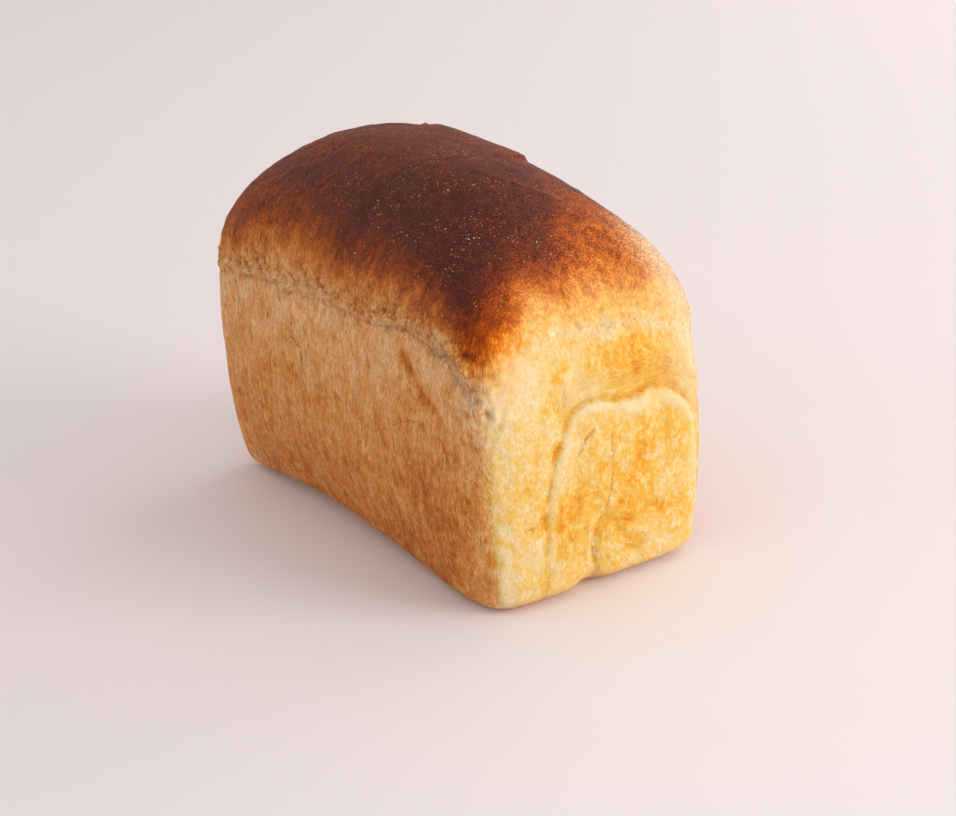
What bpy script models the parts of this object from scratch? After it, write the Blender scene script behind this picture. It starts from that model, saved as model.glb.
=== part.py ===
"""White sandwich loaf baked in a deep tin: one solid, with the crown, the tear above the tin's rim and the folded ends.

Metres, +Z up. X runs along the loaf, with the boldly folded end at +X. The origin is the middle of the base.
"""

import bmesh
import bpy
import numpy as np
from mathutils import Vector, noise

# Overall size at the tin's rim, and the height of the rim and of the crown.
LENGTH = 0.218
WIDTH = 0.1116
RIM_HEIGHT = 0.1038
CROWN_HEIGHT = 0.167

# How the crown rounds over: the length of the curve at each end, its fullness, and how square the loaf is in plan.
NEAR_END_ROUND = 0.0953
FAR_END_ROUND = 0.108
ARCH_FULLNESS = 2.09
WALL_SQUARENESS = 8.6
CROWN_SQUARENESS = 2.23
SQUARENESS_FADE = 0.9
BASE_ROUND = 0.008
BASE_FULLNESS = 2.4

# How much each wall leans in for each metre below the rim, and how far its middle swells out.
FRONT_LEAN_NEAR = -0.0022
FRONT_LEAN_FAR = 0.0394
BACK_LEAN = 0.0211
FAR_END_LEAN = -0.0078
SIDE_SWELL = 0.0044
NEAR_END_SWELL = 0.0029
FAR_END_SWELL = 0.0017
SWELL_HEIGHT = 0.055

# The long sides sank at their foot while the loaf cooled, and the base's edge lifted there.
WAIST_DEPTH = 0.0057
WAIST_HEIGHT = 0.030
WAIST_PLACE = -0.0394
WAIST_REACH = 0.1085
BASE_LIFT = 0.0059
BASE_LIFT_HEIGHT = 0.030
BASE_LIFT_START = 0.55
FOOT_WAVE = 0.0013
FOOT_WAVE_PLACE = 0.019
FOOT_WAVE_REACH = 0.010

# The crown is a little lower at the near end, and its ends are fuller than its middle.
CROWN_SLOPE = 0.0042
CROWN_END_FULLNESS = 0.0045

# The shaped walls aren't quite even about the tin's middle, so the loaf is moved by this much to centre its base.
CENTRING = (-0.0008, 0.0003, 0.0)

# Cells of the dividing grid along X, Y and Z, and the share of its triangles that the finished solid keeps.
GRID_CELLS = (96, 50, 70)
KEPT_SHARE = 0.19
FLAT_BASE_BAND = 0.0004

CRUST_COLOUR = (0.36, 0.13, 0.035, 1.0)
CRUST_ROUGHNESS = 0.6

# The tear round the loaf: its height by compass angle, with 0 at the near end, -90 at the front and 45 at a corner.
TEAR_HEIGHTS = (
    (-180, 0.106),
    (-135, 0.100),
    (-114, 0.1045),
    (-90, 0.108),
    (-60, 0.111),
    (-49, 0.104),
    (-45, 0.098),
    (-38, 0.112),
    (-20, 0.113),
    (0, 0.111),
    (25, 0.108),
    (40, 0.098),
    (45, 0.096),
    (60, 0.104),
    (90, 0.109),
    (120, 0.106),
    (135, 0.099),
    (180, 0.106),
)
TEAR_DEPTH = 0.0012
TEAR_WIDTH = 0.0028
TEAR_CRAGS = 0.0012
BULGE_DEPTH = 0.0008
BULGE_RISE = 0.013
BULGE_SPREAD = 0.012

# The flap of dough on the near end, as a line of (along the wall, height) round its left, top and right edges.
FLAP_LINE = (
    (-0.033, -0.010),
    (-0.031, 0.022),
    (-0.027, 0.045),
    (-0.022, 0.064),
    (-0.0145, 0.0795),
    (-0.005, 0.083),
    (0.0135, 0.080),
    (0.0255, 0.081),
    (0.0355, 0.078),
    (0.0445, 0.066),
    (0.049, 0.048),
    (0.051, -0.010),
)
FLAP_THICKNESS = 0.0009
FLAP_LIP = 0.0008
FLAP_LIP_WIDTH = 0.0030
FLAP_GROOVE = 0.0016
FLAP_GROOVE_WIDTH = 0.0020

# Creases as lines of (along the wall, height), each with a width and a depth.
NEAR_END_CREASES = (
    (((0.005, 0.069), (0.005, 0.055), (0.0035, 0.043), (0.001, 0.035), (-0.004, 0.030)), 0.0016, 0.0008),
    (((-0.004, 0.030), (-0.006, 0.023), (-0.008, 0.019), (-0.007, 0.004)), 0.0024, 0.0020),
    (((0.000, 0.034), (0.006, 0.026), (0.012, 0.024), (0.020, 0.028), (0.028, 0.026)), 0.0024, 0.0008),
    (((0.001, 0.021), (0.006, 0.016), (0.014, 0.013), (0.024, 0.014)), 0.0020, 0.0008),
    (((-0.004, 0.071), (-0.010, 0.066), (-0.013, 0.060)), 0.0016, 0.0008),
    (((-0.040, 0.034), (-0.032, 0.036), (-0.028, 0.040)), 0.0020, 0.0007),
)
FRONT_CREASES = (
    (((0.054, 0.105), (0.057, 0.096), (0.066, 0.086), (0.073, 0.081), (0.077, 0.073), (0.083, 0.062)), 0.0035, 0.0009),
    (((-0.086, 0.101), (-0.083, 0.094), (-0.081, 0.086), (-0.078, 0.082)), 0.0015, 0.0008),
    (((-0.038, 0.088), (-0.035, 0.083), (-0.030, 0.078), (-0.031, 0.069)), 0.0016, 0.0008),
    (((0.027, 0.075), (0.032, 0.056)), 0.0016, 0.0006),
)
BACK_CREASES = (
    (((-0.070, 0.100), (-0.062, 0.088), (-0.052, 0.078), (-0.048, 0.062)), 0.0040, 0.0016),
    (((0.084, 0.101), (0.080, 0.088), (0.070, 0.078)), 0.0026, 0.0014),
    (((0.010, 0.090), (0.014, 0.074), (0.012, 0.060)), 0.0016, 0.0009),
)
FAR_END_CREASES = (
    (((-0.034, 0.088), (-0.018, 0.094), (0.006, 0.092), (0.026, 0.084), (0.038, 0.070), (0.040, 0.050)), 0.0024, 0.0018),
    (((-0.006, 0.078), (-0.004, 0.058), (0.002, 0.040), (0.001, 0.022), (0.003, 0.006)), 0.0020, 0.0014),
    (((-0.030, 0.050), (-0.018, 0.042), (-0.006, 0.044)), 0.0020, 0.0010),
)

# The notch under the near end, where the dough's seam lifts off the floor, and a fainter one under the far end.
NOTCH_PLACE = -0.009
NOTCH_REACH = 0.008
NOTCH_LIFT = 0.0055
NOTCH_RUN = 0.016

# The split in the crown's crust, as a line of (x, y), where the front side stands proud of the back.
SPLIT_LINE = ((-0.030, 0.006), (-0.006, 0.013), (0.022, 0.014), (0.036, 0.021), (0.056, 0.026), (0.072, 0.034))
SPLIT_STEP = 0.0011
SPLIT_WIDTH = 0.0024

LUMP_SIZE = 0.042
LUMP_HEIGHT = 0.0008
FLUTE_SIZE = 0.011
FLUTE_STRETCH = 7.0
FLUTE_HEIGHT = 0.0005


def hill(t):
    """A smooth hill, 1 at t = 0 and close to 0 beyond 2 on either side."""
    return np.exp(-t * t)


def ease(t):
    """0 up to t = 0, 1 from t = 1, and smooth between them."""
    t = np.clip(t, 0.0, 1.0)
    return t * t * (3.0 - 2.0 * t)


def lumps(points, size, seed, stretch=1.0):
    """Smooth noise, one value a point, with lumps of that size that are drawn out in height by the stretch."""
    scale = np.array((1.0, 1.0, 1.0 / stretch)) / size
    shift = np.array((3.7, 11.3, 5.9)) * seed
    return np.array([noise.noise(Vector(p)) for p in points * scale + shift])


def smooth_steps(table, value, period=None):
    """Reads a table of (place, amount) pairs at each value, easing from one pair to the next."""
    places = np.array([row[0] for row in table], float)
    amounts = np.array([row[1] for row in table], float)
    if period:
        value = (value - places[0]) % period + places[0]
    index = np.clip(np.searchsorted(places, value, side="right") - 1, 0, len(places) - 2)
    share = (value - places[index]) / (places[index + 1] - places[index])
    return amounts[index] + (amounts[index + 1] - amounts[index]) * ease(share)


def line_distance(u, v, line):
    """Each point's distance from a line through the given points, positive on its left."""
    nearest = np.full(len(u), np.inf)
    side = np.ones(len(u))
    for (u0, v0), (u1, v1) in zip(line, line[1:]):
        du, dv = u1 - u0, v1 - v0
        share = np.clip(((u - u0) * du + (v - v0) * dv) / (du * du + dv * dv), 0.0, 1.0)
        away = np.hypot(u - u0 - share * du, v - v0 - share * dv)
        closer = away < nearest
        side = np.where(closer, np.sign(du * (v - v0) - dv * (u - u0)), side)
        nearest = np.where(closer, away, nearest)
    return nearest * side


def smooth_line(line, steps=4):
    """A line of points with its corners curved, passing through every point."""
    points = [2 * np.array(line[0]) - line[1], *np.array(line), 2 * np.array(line[-1]) - line[-2]]
    curve = []
    for before, start, end, after in zip(points, points[1:], points[2:], points[3:]):
        for t in np.arange(steps) / steps:
            bend = (2 * before - 5 * start + 4 * end - after) * t + (3 * start - before - 3 * end + after) * t * t
            curve.append(start + 0.5 * t * (end - before + bend))
    return [*curve, points[-2]]


def divided_box():
    """A cube from -1 to 1 with its faces divided into the grid's cells."""
    box = bmesh.new()
    bmesh.ops.create_cube(box, size=2.0)
    for axis, cells in enumerate(GRID_CELLS):
        along = [e for e in box.edges if abs(e.verts[0].co[axis] - e.verts[1].co[axis]) > 1.0]
        bmesh.ops.subdivide_edges(box, edges=along, cuts=cells - 1, use_grid_fill=True)
    return box


def round_over(box):
    """Moves the box's points onto the smooth loaf: a rounded base, straight walls and an arched crown."""
    half_length, half_width = LENGTH / 2, WIDTH / 2
    end_round = np.where(box[:, 0] > 0, NEAR_END_ROUND, FAR_END_ROUND)
    x, y = box[:, 0] * half_length, box[:, 1] * half_width
    z = (box[:, 2] + 1) / 2 * CROWN_HEIGHT
    core_x = np.clip(x, end_round - half_length, half_length - end_round)
    out_x, out_y = (x - core_x) / end_round, y / half_width
    ring = np.maximum(np.abs(out_x), np.abs(out_y))
    rise = np.clip((z - RIM_HEIGHT) / (CROWN_HEIGHT - RIM_HEIGHT), 0, 1)

    arch = (ring**ARCH_FULLNESS + rise**ARCH_FULLNESS) ** (1 / ARCH_FULLNESS)
    arch = np.where(rise > 0, np.maximum(arch, 1e-9), 1.0)
    z = np.where(rise > 0, RIM_HEIGHT + (CROWN_HEIGHT - RIM_HEIGHT) * rise / arch, z)
    square = WALL_SQUARENESS + (CROWN_SQUARENESS - WALL_SQUARENESS) * ease(rise / arch / SQUARENESS_FADE)
    spread = (np.abs(out_x) ** square + np.abs(out_y) ** square) ** (1 / square)
    shrink = ring / np.maximum(spread, 1e-9)

    edge = np.clip(1 - (1 - ring) * half_width / BASE_ROUND, 0, 1)
    drop = np.clip(1 - z / BASE_ROUND, 0, 1)
    bend = (edge**BASE_FULLNESS + drop**BASE_FULLNESS) ** (1 / BASE_FULLNESS)
    bend = np.where((drop > 0) & (edge > 0), bend, 1.0)
    low_ring = np.where(edge > 0, 1 - (1 - edge / bend) * BASE_ROUND / half_width, ring)
    z = np.where(drop > 0, BASE_ROUND * (1 - drop / bend), z)

    inwards = np.where(drop > 0, low_ring / np.maximum(ring, 1e-9), 1 / arch) * shrink
    return np.column_stack((core_x + out_x * end_round * inwards, out_y * half_width * inwards, z))


def shape_walls(points):
    """Leans, swells and sinks the walls, tilts the crown and lifts the base's edge off the floor at its middle."""
    x, y, z = points.T
    along, across = x / (LENGTH / 2), y / (WIDTH / 2)
    below = np.clip(RIM_HEIGHT - z, 0, None)
    swell = np.clip(1 - (z / SWELL_HEIGHT - 1) ** 2, 0, 1)
    middle = hill((x - WAIST_PLACE) / WAIST_REACH) * (1 - np.clip(np.abs(along), 0, 1) ** 4)
    front_lean = FRONT_LEAN_FAR + (FRONT_LEAN_NEAR - FRONT_LEAN_FAR) * (along + 1) / 2
    side_lean = np.where(y < 0, front_lean, BACK_LEAN)
    end_lean = np.where(x < 0, FAR_END_LEAN, 0.0)
    end_swell = np.where(x < 0, FAR_END_SWELL, NEAR_END_SWELL)
    moved_y = y - across * (side_lean * below - SIDE_SWELL * swell + WAIST_DEPTH * middle * hill(z / WAIST_HEIGHT))
    moved_x = x - along * (end_lean * below - end_swell * swell)

    rise = ease((z - RIM_HEIGHT) / (CROWN_HEIGHT - RIM_HEIGHT))
    crown = rise * (CROWN_END_FULLNESS * along**2 - CROWN_SLOPE * along)
    low = np.clip(1 - z / BASE_LIFT_HEIGHT, 0, 1)
    edge = ease((np.abs(across) - BASE_LIFT_START) / (0.95 - BASE_LIFT_START))
    foot = (x - FOOT_WAVE_PLACE) / FOOT_WAVE_REACH
    lift = (BASE_LIFT * middle + FOOT_WAVE * foot * hill(foot)) * edge
    run = ease((np.abs(x) - (LENGTH / 2 - NOTCH_RUN)) / NOTCH_RUN)
    notch = np.where(x > 0, NOTCH_LIFT, 0.5 * NOTCH_LIFT) * run * hill((y - NOTCH_PLACE) / NOTCH_REACH)
    return np.column_stack((moved_x, moved_y, z + crown + (lift + notch) * low))


def tear_relief(points, normals):
    """The torn line above the tin's rim, with its crags, and the bulge of crust over it."""
    angle = np.degrees(np.arctan2(points[:, 1] / WIDTH, points[:, 0] / LENGTH))
    height = smooth_steps(TEAR_HEIGHTS, angle, 360) + 0.002 * lumps(points, 0.016, 2)
    up = points[:, 2] - height
    rough = lumps(points, 0.006, 3)
    groove = -TEAR_DEPTH * hill(up / TEAR_WIDTH)
    crags = TEAR_CRAGS * rough * hill((up - 0.004) / 0.006)
    bulge = BULGE_DEPTH * hill((up - BULGE_RISE) / BULGE_SPREAD)
    wall = 1 - ease((normals[:, 2] - 0.5) / 0.4)
    return (groove + crags + bulge) * wall


def flap_relief(y, z):
    """The raised flap on the near end: a groove round it, a rounded lip just inside and a slightly proud middle."""
    inside = -line_distance(y, z, smooth_line(FLAP_LINE))
    proud = FLAP_THICKNESS * ease(inside / FLAP_LIP_WIDTH)
    lip = FLAP_LIP * hill((inside - FLAP_LIP_WIDTH) / FLAP_LIP_WIDTH)
    groove = -FLAP_GROOVE * hill((inside + 0.5 * FLAP_GROOVE_WIDTH) / FLAP_GROOVE_WIDTH)
    return proud + lip + groove


def crease_relief(u, v, creases):
    """Grooves along each line, with the dough swelling a little on either side of them."""
    total = np.zeros(len(u))
    for line, width, depth in creases:
        away = line_distance(u, v, smooth_line(line))
        total += depth * (0.5 * hill((np.abs(away) - 2.2 * width) / width) - hill(away / width))
    return total


def split_relief(points):
    """The split in the crown, whose front edge stands proud."""
    away = line_distance(points[:, 0], points[:, 1], smooth_line(SPLIT_LINE))
    proud = np.where(away < 0, hill(away / (4 * SPLIT_WIDTH)), 0.0)
    return SPLIT_STEP * (proud - hill((away - SPLIT_WIDTH) / SPLIT_WIDTH))


def relief(points, normals):
    """How far each point of the smooth loaf moves along its normal."""
    x, y, z = points.T
    near, far = ease((normals[:, 0] - 0.45) / 0.4), ease((-normals[:, 0] - 0.45) / 0.4)
    front, back = ease((-normals[:, 1] - 0.45) / 0.4), ease((normals[:, 1] - 0.45) / 0.4)
    top = ease((normals[:, 2] - 0.3) / 0.4)
    total = LUMP_HEIGHT * lumps(points, LUMP_SIZE, 1)
    total += FLUTE_HEIGHT * (1 - top) * lumps(points, FLUTE_SIZE, 4, FLUTE_STRETCH)
    total += tear_relief(points, normals)
    total += near * (flap_relief(y, z) + crease_relief(y, z, NEAR_END_CREASES))
    total += far * crease_relief(y, z, FAR_END_CREASES)
    total += front * crease_relief(x, z, FRONT_CREASES)
    total += back * crease_relief(x, z, BACK_CREASES)
    total += top * split_relief(points)
    return total * ease(z / BASE_ROUND)


def loaf_mesh():
    """The finished loaf as a fine mesh."""
    box = divided_box()
    mesh = bpy.data.meshes.new("loaf")
    box.to_mesh(mesh)
    box.free()
    flat = np.empty(len(mesh.vertices) * 3, np.float32)
    mesh.vertices.foreach_get("co", flat)
    smooth = shape_walls(round_over(flat.reshape(-1, 3).astype(float)))
    mesh.vertices.foreach_set("co", smooth.astype(np.float32).ravel())
    mesh.update()
    mesh.vertex_normals[0]
    normals = np.array([n.vector for n in mesh.vertex_normals])
    points = smooth + normals * relief(smooth, normals)[:, None]
    points[:, 2] = np.where(points[:, 2] < FLAT_BASE_BAND, 0.0, points[:, 2])
    points += CENTRING
    mesh.vertices.foreach_set("co", points.astype(np.float32).ravel())
    mesh.update()
    return mesh


def crust_material():
    """Baked crust: matt golden brown."""
    material = bpy.data.materials.new("crust")
    material.use_nodes = True
    shader = material.node_tree.nodes["Principled BSDF"]
    shader.inputs["Base Color"].default_value = CRUST_COLOUR
    shader.inputs["Roughness"].default_value = CRUST_ROUGHNESS
    shader.inputs["Metallic"].default_value = 0.0
    return material


def main():
    for old in list(bpy.data.objects):
        bpy.data.objects.remove(old)
    mesh = loaf_mesh()
    mesh.shade_smooth()
    loaf = bpy.data.objects.new("loaf", mesh)
    bpy.context.scene.collection.objects.link(loaf)
    mesh.materials.append(crust_material())
    thin_out = loaf.modifiers.new("fewer_faces", "DECIMATE")
    thin_out.ratio = KEPT_SHARE


main()
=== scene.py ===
"""The looks of the white tin loaf: its folded, torn and browned crust, the flour on it, and a plain set.

Metres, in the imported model's frame: X runs along the loaf with the folded end at +X, and the shown long side
faces -Y.
"""

import bmesh
import bpy
import numpy as np
from mathutils import Matrix, Vector, noise
from mathutils.bvhtree import BVHTree


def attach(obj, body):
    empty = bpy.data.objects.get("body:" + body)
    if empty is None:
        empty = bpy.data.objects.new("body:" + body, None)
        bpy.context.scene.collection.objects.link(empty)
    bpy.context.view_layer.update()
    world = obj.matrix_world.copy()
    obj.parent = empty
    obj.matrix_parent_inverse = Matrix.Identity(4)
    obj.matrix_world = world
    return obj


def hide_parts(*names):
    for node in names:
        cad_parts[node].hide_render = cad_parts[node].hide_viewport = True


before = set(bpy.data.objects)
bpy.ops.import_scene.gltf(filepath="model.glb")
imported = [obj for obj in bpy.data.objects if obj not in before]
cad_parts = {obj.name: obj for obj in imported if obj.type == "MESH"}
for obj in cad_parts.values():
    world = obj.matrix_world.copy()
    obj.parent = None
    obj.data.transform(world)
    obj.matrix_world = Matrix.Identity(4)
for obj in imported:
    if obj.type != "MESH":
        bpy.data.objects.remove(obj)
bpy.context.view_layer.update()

# The smooth loaf, with the same named sizes as the solid: overall size, roundings, and how the walls run.
LENGTH = 0.218
WIDTH = 0.1116
RIM_HEIGHT = 0.1038
CROWN_HEIGHT = 0.167
NEAR_END_ROUND = 0.0953
FAR_END_ROUND = 0.108
ARCH_FULLNESS = 2.09
WALL_SQUARENESS = 8.6
CROWN_SQUARENESS = 2.23
SQUARENESS_FADE = 0.9
BASE_ROUND = 0.008
BASE_FULLNESS = 2.4
FRONT_LEAN_NEAR = -0.0022
FRONT_LEAN_FAR = 0.0394
BACK_LEAN = 0.0211
FAR_END_LEAN = -0.0078
SIDE_SWELL = 0.0044
NEAR_END_SWELL = 0.0029
FAR_END_SWELL = 0.0017
SWELL_HEIGHT = 0.055
WAIST_DEPTH = 0.0057
WAIST_HEIGHT = 0.030
WAIST_PLACE = -0.0394
WAIST_REACH = 0.1085
BASE_LIFT = 0.0059
BASE_LIFT_HEIGHT = 0.030
BASE_LIFT_START = 0.55
BASE_LIFT_FULL = 0.95
FOOT_WAVE = 0.0013
FOOT_WAVE_PLACE = 0.019
FOOT_WAVE_REACH = 0.010
CROWN_SLOPE = 0.0042
CROWN_END_FULLNESS = 0.0045
CENTRING = (-0.0008, 0.0003, 0.0)
NOTCH_PLACE = -0.007
NOTCH_REACH = 0.006
NOTCH_LIFT = 0.0035
NOTCH_RUN = 0.014
FLAT_BASE_HEIGHT = 0.0004

# Cells of the dividing grid along X, Y and Z.
GRID_CELLS = (172, 98, 118)

# How far a point has to face a side to be a part of it, and over how much it blends in.
FACING_START = 0.45
FACING_BLEND = 0.4
CROWN_FACING_START = 0.35
GOLD_FACING_START = 0.50
GOLD_FACING_BLEND = 0.42
FAR_END_TINT = 0.2

# How far each seed moves the noise, and how sharp the ridges of torn dough are.
SEED_SHIFT = np.array((3.7, 11.3, 5.9))
RIDGE_SHARPNESS = 2.6

# The tear round the loaf: its height by compass angle, 0 at the near end, -90 at the front, 45 at a corner.
TEAR_HEIGHTS = (
    (-180, 0.106),
    (-135, 0.098),
    (-131, 0.099),
    (-125, 0.1035),
    (-119, 0.106),
    (-110, 0.1055),
    (-90, 0.109),
    (-75, 0.1085),
    (-60, 0.112),
    (-52, 0.108),
    (-48.5, 0.103),
    (-46, 0.098),
    (-42, 0.100),
    (-37, 0.107),
    (-30, 0.112),
    (-17, 0.1145),
    (-7, 0.1124),
    (4, 0.1103),
    (16, 0.1104),
    (28, 0.108),
    (35, 0.103),
    (41, 0.097),
    (45, 0.095),
    (50, 0.099),
    (60, 0.104),
    (90, 0.109),
    (120, 0.106),
    (135, 0.099),
    (180, 0.106),
)
# How the tear's crags lean along the loaf and lie flat.
CRAG_SLANT = np.array(((1.0, 0, -0.55), (0, 1.0, 0), (0, 0, 1.9)))

# Where the brown of the crown is half gone, by the same compass, and how fast it goes there.
BROWN_HEIGHTS = (
    (-180, 0.128),
    (-150, 0.122),
    (-135, 0.114),
    (-131, 0.1185),
    (-123, 0.1208),
    (-110, 0.1275),
    (-95, 0.1265),
    (-80, 0.1225),
    (-65, 0.1250),
    (-53, 0.1213),
    (-48.5, 0.1165),
    (-45.5, 0.1120),
    (-43, 0.1155),
    (-36.5, 0.124),
    (-25, 0.132),
    (-10.5, 0.1315),
    (10.5, 0.132),
    (25, 0.135),
    (36.5, 0.131),
    (41, 0.124),
    (45, 0.117),
    (50, 0.120),
    (60, 0.124),
    (90, 0.1265),
    (120, 0.124),
    (135, 0.114),
    (150, 0.122),
    (180, 0.128),
)
BROWN_SPEEDS = (
    (-180, 0.9),
    (-123, 0.85),
    (-100, 1.0),
    (-80, 1.15),
    (-50, 1.3),
    (-25, 1.3),
    (-6, 1.35),
    (9, 0.90),
    (22, 0.62),
    (40, 0.50),
    (60, 0.8),
    (90, 1.0),
    (135, 1.0),
    (180, 0.9),
)

# How far the crust is baked by height over that line, from pale dough at 0 to the darkest crown at 1.
BROWNING = (
    (-0.030, 0.0),
    (-0.022, 0.03),
    (-0.016, 0.08),
    (-0.010, 0.16),
    (-0.005, 0.25),
    (0.000, 0.34),
    (0.005, 0.42),
    (0.010, 0.50),
    (0.020, 0.64),
    (0.026, 0.72),
    (0.033, 0.70),
    (0.042, 0.66),
)
WALL_BAKE = 0.20
# Places that are baked more or less than the rest: where, how far round, and by how much.
BAKED_SPOTS = (
    ((0.0951, -0.0043, 0.1380), 0.010, 0.07),
    ((0.1033, -0.0303, 0.1260), 0.008, -0.07),
    ((0.1066, -0.0352, 0.1175), 0.006, -0.04),
    ((0.1116, -0.0267, 0.0402), 0.008, 0.12),
    ((0.1112, 0.0091, 0.0289), 0.010, 0.07),
    ((0.1109, 0.0307, 0.0859), 0.008, 0.05),
    ((0.1094, 0.0145, 0.1051), 0.008, 0.04),
    ((0.1103, -0.0045, 0.0952), 0.009, -0.08),
    ((0.1106, -0.0093, 0.0185), 0.007, -0.09),
    ((0.1116, -0.0247, 0.0707), 0.008, -0.05),
    ((0.1075, 0.0349, 0.1147), 0.008, -0.10),
    ((0.1118, 0.0100, 0.0520), 0.010, -0.05),
    ((0.0985, -0.0547, 0.0128), 0.012, -0.09),
    ((0.1000, -0.0545, 0.0350), 0.010, -0.06),
)
# The corner with a painted orange glow where it dips into shade, the corner with a painted sheen where the
# light grazes it, the crown's dark part, and a crater and a whorl of dough.
PAINTED_GLOW_ANGLE = -42
PAINTED_GLOW_HEIGHT = 0.118
PAINTED_SHEEN_ANGLE = 42
DARK_CROWN_PLACE = (0.055, -0.028)
CORNER_CRATER = (0.1065, -0.0510, 0.0895)
CORNER_WHORL = (0.1060, -0.0525, 0.0265)

# How the grain of the dough is drawn out on the long sides, on the ends and along the flap, and how it turns
# round the big fold of the near end.
WALL_GRAIN_STRETCH = 3.6
END_GRAIN_STRETCH = 1.6
FLAP_GRAIN_STRETCH = 1.5
FOLD_WHORL = (0.0085, 0.0290)
FOLD_WHORL_REACH = 0.011
FOLD_WHORL_TURN = 1.3

# The flap of dough on the near end: a line of (along the wall, height) round its left, top and right edges.
FLAP_LINE = (
    (-0.030, -0.010),
    (-0.0288, 0.020),
    (-0.0286, 0.041),
    (-0.0262, 0.053),
    (-0.0228, 0.0635),
    (-0.0190, 0.0708),
    (-0.0163, 0.0775),
    (-0.0105, 0.0815),
    (-0.0035, 0.0826),
    (0.0135, 0.0792),
    (0.0235, 0.0811),
    (0.0320, 0.0797),
    (0.0400, 0.0740),
    (0.0455, 0.0650),
    (0.0482, 0.0550),
    (0.0510, -0.010),
)
# The width of its lip by how far along that line it is, from the foot of the left edge.
LIP_WIDTHS = ((0.0, 0.0018), (0.10, 0.0035), (0.135, 0.0058), (0.165, 0.0042), (0.20, 0.0030), (0.26, 0.0022))

# Soft marks on each wall: a line of (along the wall, height), its width, its rise and its extra baking.
NEAR_END_MARKS = (
    (((-0.0416, 0.0856), (-0.0291, 0.0852), (-0.0191, 0.0834)), 0.0018, -0.0003, 0.07),
    (((0.007, 0.0300), (0.0147, 0.0257), (0.0225, 0.0297), (0.0304, 0.0272)), 0.0017, -0.0009, 0.13),
    (((0.0024, 0.0297), (0.0068, 0.0230), (0.0122, 0.0180), (0.0200, 0.0175)), 0.0016, -0.0008, 0.10),
    (((0.006, 0.0360), (0.0150, 0.0330), (0.0240, 0.0370)), 0.0016, -0.0005, 0.08),
    (((0.008, 0.0151), (0.0148, 0.0129), (0.0230, 0.0140)), 0.0014, -0.0006, 0.08),
    (((0.001, 0.0330), (-0.0053, 0.0244), (-0.0063, 0.0198), (-0.0050, 0.0040)), 0.0019, -0.0016, 0.05),
    (((-0.011, 0.0600), (-0.0140, 0.0470), (-0.0180, 0.0330)), 0.0030, -0.0004, 0.09),
    (((-0.0375, 0.0370), (-0.0330, 0.0360), (-0.0290, 0.0390)), 0.0022, -0.0008, 0.13),
    (((-0.0180, 0.0110), (-0.0120, 0.0190), (-0.0100, 0.0300)), 0.0016, -0.0006, 0.06),
    (((-0.0440, 0.0560), (-0.0360, 0.0530), (-0.0300, 0.0560)), 0.0030, -0.0003, 0.07),
    (((0.0160, 0.0700), (0.0180, 0.0500), (0.0150, 0.0400)), 0.0045, 0.0002, 0.07),
)
FRONT_MARKS = (
    (((-0.0950, 0.0985), (-0.0770, 0.1034), (-0.0630, 0.1056)), 0.0013, -0.0008, 0.02),
    (
        ((0.0780, 0.1180), (0.0840, 0.1155), (0.0945, 0.1099), (0.0985, 0.1068), (0.1010, 0.1030)),
        0.0015, 0.0014, -0.24,
    ),
    (((0.0835, 0.1100), (0.0880, 0.1062), (0.0939, 0.1020), (0.0990, 0.0960)), 0.0026, -0.0009, -0.02),
    (
        ((0.0545, 0.1040), (0.0572, 0.1011), (0.0632, 0.0952), (0.0706, 0.0893), (0.0780, 0.0862)),
        0.0027, -0.0007, 0.36,
    ),
    (((0.0780, 0.0862), (0.0857, 0.0770), (0.0880, 0.0680)), 0.0024, -0.0004, 0.12),
    (((-0.0331, 0.0895), (-0.0300, 0.0857), (-0.0243, 0.0824), (-0.0230, 0.0778)), 0.0014, -0.0007, 0.02),
    (((-0.0820, 0.1012), (-0.0783, 0.0933), (-0.0743, 0.0851)), 0.0014, -0.0006, 0.03),
    (((0.0217, 0.1172), (0.0311, 0.1159), (0.0412, 0.1138)), 0.0012, -0.0006, 0.16),
    (((0.0120, 0.1140), (0.0230, 0.1125), (0.0330, 0.1120)), 0.0012, -0.0005, 0.10),
    (
        ((0.0475, 0.0690), (0.0586, 0.0740), (0.0666, 0.0760), (0.0731, 0.0750), (0.0835, 0.0725)),
        0.0016, -0.0006, 0.05,
    ),
    (((0.0700, 0.0500), (0.0780, 0.0380), (0.0800, 0.0260)), 0.0080, 0.0000, 0.07),
)
# Painted shade on the front, by the corner's pale ridge and along the tear: a line, its width and its
# strength.
FRONT_PAINTED_SHADES = (
    (((0.078, 0.110), (0.0831, 0.1078), (0.0929, 0.1029), (0.0985, 0.0973), (0.1005, 0.093)), 0.003, 0.45),
    (((0.0300, 0.1085), (0.0450, 0.1105), (0.0600, 0.1122), (0.0740, 0.1108)), 0.0018, 0.26),
)
BACK_MARKS = (
    (((-0.0700, 0.1000), (-0.0620, 0.0880), (-0.0520, 0.0780), (-0.0480, 0.0620)), 0.0022, -0.0007, 0.18),
    (((0.0840, 0.1010), (0.0800, 0.0880), (0.0700, 0.0780)), 0.0018, -0.0007, 0.08),
    (((0.0100, 0.0900), (0.0140, 0.0740), (0.0120, 0.0600)), 0.0014, -0.0006, 0.04),
    (((-0.0300, 0.1150), (-0.0200, 0.1138), (-0.0080, 0.1150)), 0.0012, -0.0006, 0.14),
    (((-0.0960, 0.1040), (-0.0900, 0.1090), (-0.0830, 0.1130)), 0.0015, 0.0009, -0.15),
)
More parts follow.
